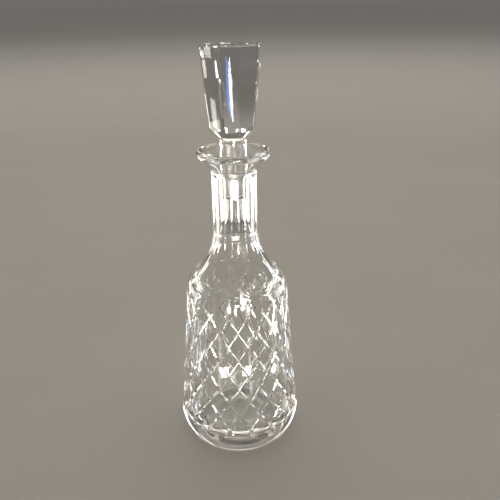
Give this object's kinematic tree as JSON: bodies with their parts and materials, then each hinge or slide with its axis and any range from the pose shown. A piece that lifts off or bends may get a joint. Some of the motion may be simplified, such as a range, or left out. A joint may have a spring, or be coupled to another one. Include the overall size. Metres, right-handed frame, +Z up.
{
  "type": "decanter",
  "caption": "Tall cut-glass decanter with a diamond-cut tapering body, fluted neck, flared pouring lip and a lift-out flat-topped stopper.",
  "frame": {"origin": "centre of the resting ring, on the surface the decanter stands on", "axes": "+Z up along the axis of the bottle and stopper; -Y towards the front, which faces the middle of one neck flute"},
  "size_m": [0.1034, 0.1032, 0.33],
  "materials": {
    "body_crystal": "polished clear lead crystal, with mitre cuts and flat flutes",
    "stopper_crystal": "polished clear lead crystal, with a lightly ground plug"
  },
  "bodies": {
    "decanter": {"decanter_body": "body_crystal"},
    "stopper": {"stopper": "stopper_crystal"}
  },
  "joints": [
    {"name": "stopper_lift", "type": "slide", "parent": "decanter", "child": "stopper", "axis": [0, 0, 1], "range_m": [0, 0.05]}
  ]
}
